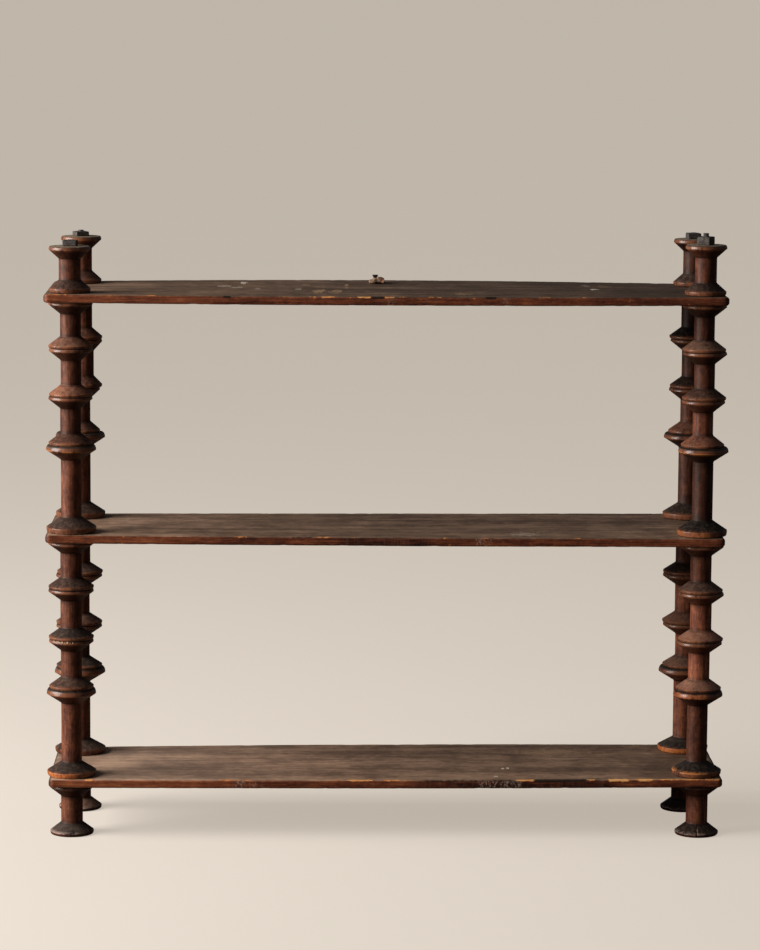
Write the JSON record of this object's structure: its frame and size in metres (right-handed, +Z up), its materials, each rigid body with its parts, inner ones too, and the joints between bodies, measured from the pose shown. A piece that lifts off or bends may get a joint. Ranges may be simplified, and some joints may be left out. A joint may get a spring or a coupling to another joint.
{
  "type": "spice shelf",
  "caption": "Open spice shelf: thin stained wooden boards clamped between corner posts of turned thread spools strung on iron rods, with a square nut on each post.",
  "frame": {"origin": "on the floor, under the middle of the boards", "axes": "+Z up, +X along the boards to the right as seen from the front, +Y towards the back, so -Y is the front"},
  "size_m": [0.507, 0.121, 0.4539],
  "materials": {
    "shelf_wood": "thin stained board, dull grey-brown tops and red-brown worn edges",
    "spool_wood": "dark stained turned wood, satin, rims worn to bare tan wood",
    "iron": "dull grey-brown worn iron",
    "leather": "dry tan leather with a bare cut end",
    "screw_steel": "dark oxidised steel"
  },
  "bodies": {
    "shelf": {"bottom_shelf": "shelf_wood", "middle_shelf": "shelf_wood", "top_shelf": "shelf_wood", "foot_spool_front_left": "spool_wood", "foot_spool_front_right": "spool_wood", "foot_spool_rear_left": "spool_wood", "foot_spool_rear_right": "spool_wood", "lower_long_spool_front_left": "spool_wood", "lower_long_spool_front_right": "spool_wood", "lower_long_spool_rear_left": "spool_wood", "lower_long_spool_rear_right": "spool_wood", "lower_spool_1_front_left": "spool_wood", "lower_spool_1_front_right": "spool_wood", "lower_spool_1_rear_left": "spool_wood", "lower_spool_1_rear_right": "spool_wood", "lower_spool_2_front_left": "spool_wood", "lower_spool_2_front_right": "spool_wood", "lower_spool_2_rear_left": "spool_wood", "lower_spool_2_rear_right": "spool_wood", "lower_spool_3_front_left": "spool_wood", "lower_spool_3_front_right": "spool_wood", "lower_spool_3_rear_left": "spool_wood", "lower_spool_3_rear_right": "spool_wood", "upper_long_spool_front_left": "spool_wood", "upper_long_spool_front_right": "spool_wood", "upper_long_spool_rear_left": "spool_wood", "upper_long_spool_rear_right": "spool_wood", "upper_spool_1_front_left": "spool_wood", "upper_spool_1_front_right": "spool_wood", "upper_spool_1_rear_left": "spool_wood", "upper_spool_1_rear_right": "spool_wood", "upper_spool_2_front_left": "spool_wood", "upper_spool_2_front_right": "spool_wood", "upper_spool_2_rear_left": "spool_wood", "upper_spool_2_rear_right": "spool_wood", "upper_spool_3_front_left": "spool_wood", "upper_spool_3_front_right": "spool_wood", "upper_spool_3_rear_left": "spool_wood", "upper_spool_3_rear_right": "spool_wood", "finial_spool_front_left": "spool_wood", "finial_spool_front_right": "spool_wood", "finial_spool_rear_left": "spool_wood", "finial_spool_rear_right": "spool_wood", "rod_front_left": "iron", "rod_front_right": "iron", "rod_rear_left": "iron", "rod_rear_right": "iron", "bottom_nut_front_left": "iron", "bottom_nut_front_right": "iron", "bottom_nut_rear_left": "iron", "bottom_nut_rear_right": "iron", "hanger_tab": "leather", "hanger_screw": "screw_steel"},
    "nut_front_left": {"top_nut_front_left": "iron"},
    "nut_front_right": {"top_nut_front_right": "iron"},
    "nut_rear_left": {"top_nut_rear_left": "iron"},
    "nut_rear_right": {"top_nut_rear_right": "iron"}
  },
  "joints": [
    {"name": "unscrew_front_left", "type": "hinge", "parent": "shelf", "child": "nut_front_left", "pos_m": [-0.235, -0.042, 0.4445], "axis": [0, 0, 1], "range_deg": [0, 1305]},
    {"name": "unscrew_front_right", "type": "hinge", "parent": "shelf", "child": "nut_front_right", "pos_m": [0.235, -0.042, 0.4484], "axis": [0, 0, 1], "range_deg": [0, 2410]},
    {"name": "unscrew_rear_left", "type": "hinge", "parent": "shelf", "child": "nut_rear_left", "pos_m": [-0.232, 0.042, 0.4459], "axis": [0, 0, 1], "range_deg": [0, 1245]},
    {"name": "unscrew_rear_right", "type": "hinge", "parent": "shelf", "child": "nut_rear_right", "pos_m": [0.235, 0.042, 0.4472], "axis": [0, 0, 1], "range_deg": [0, 1330]}
  ]
}
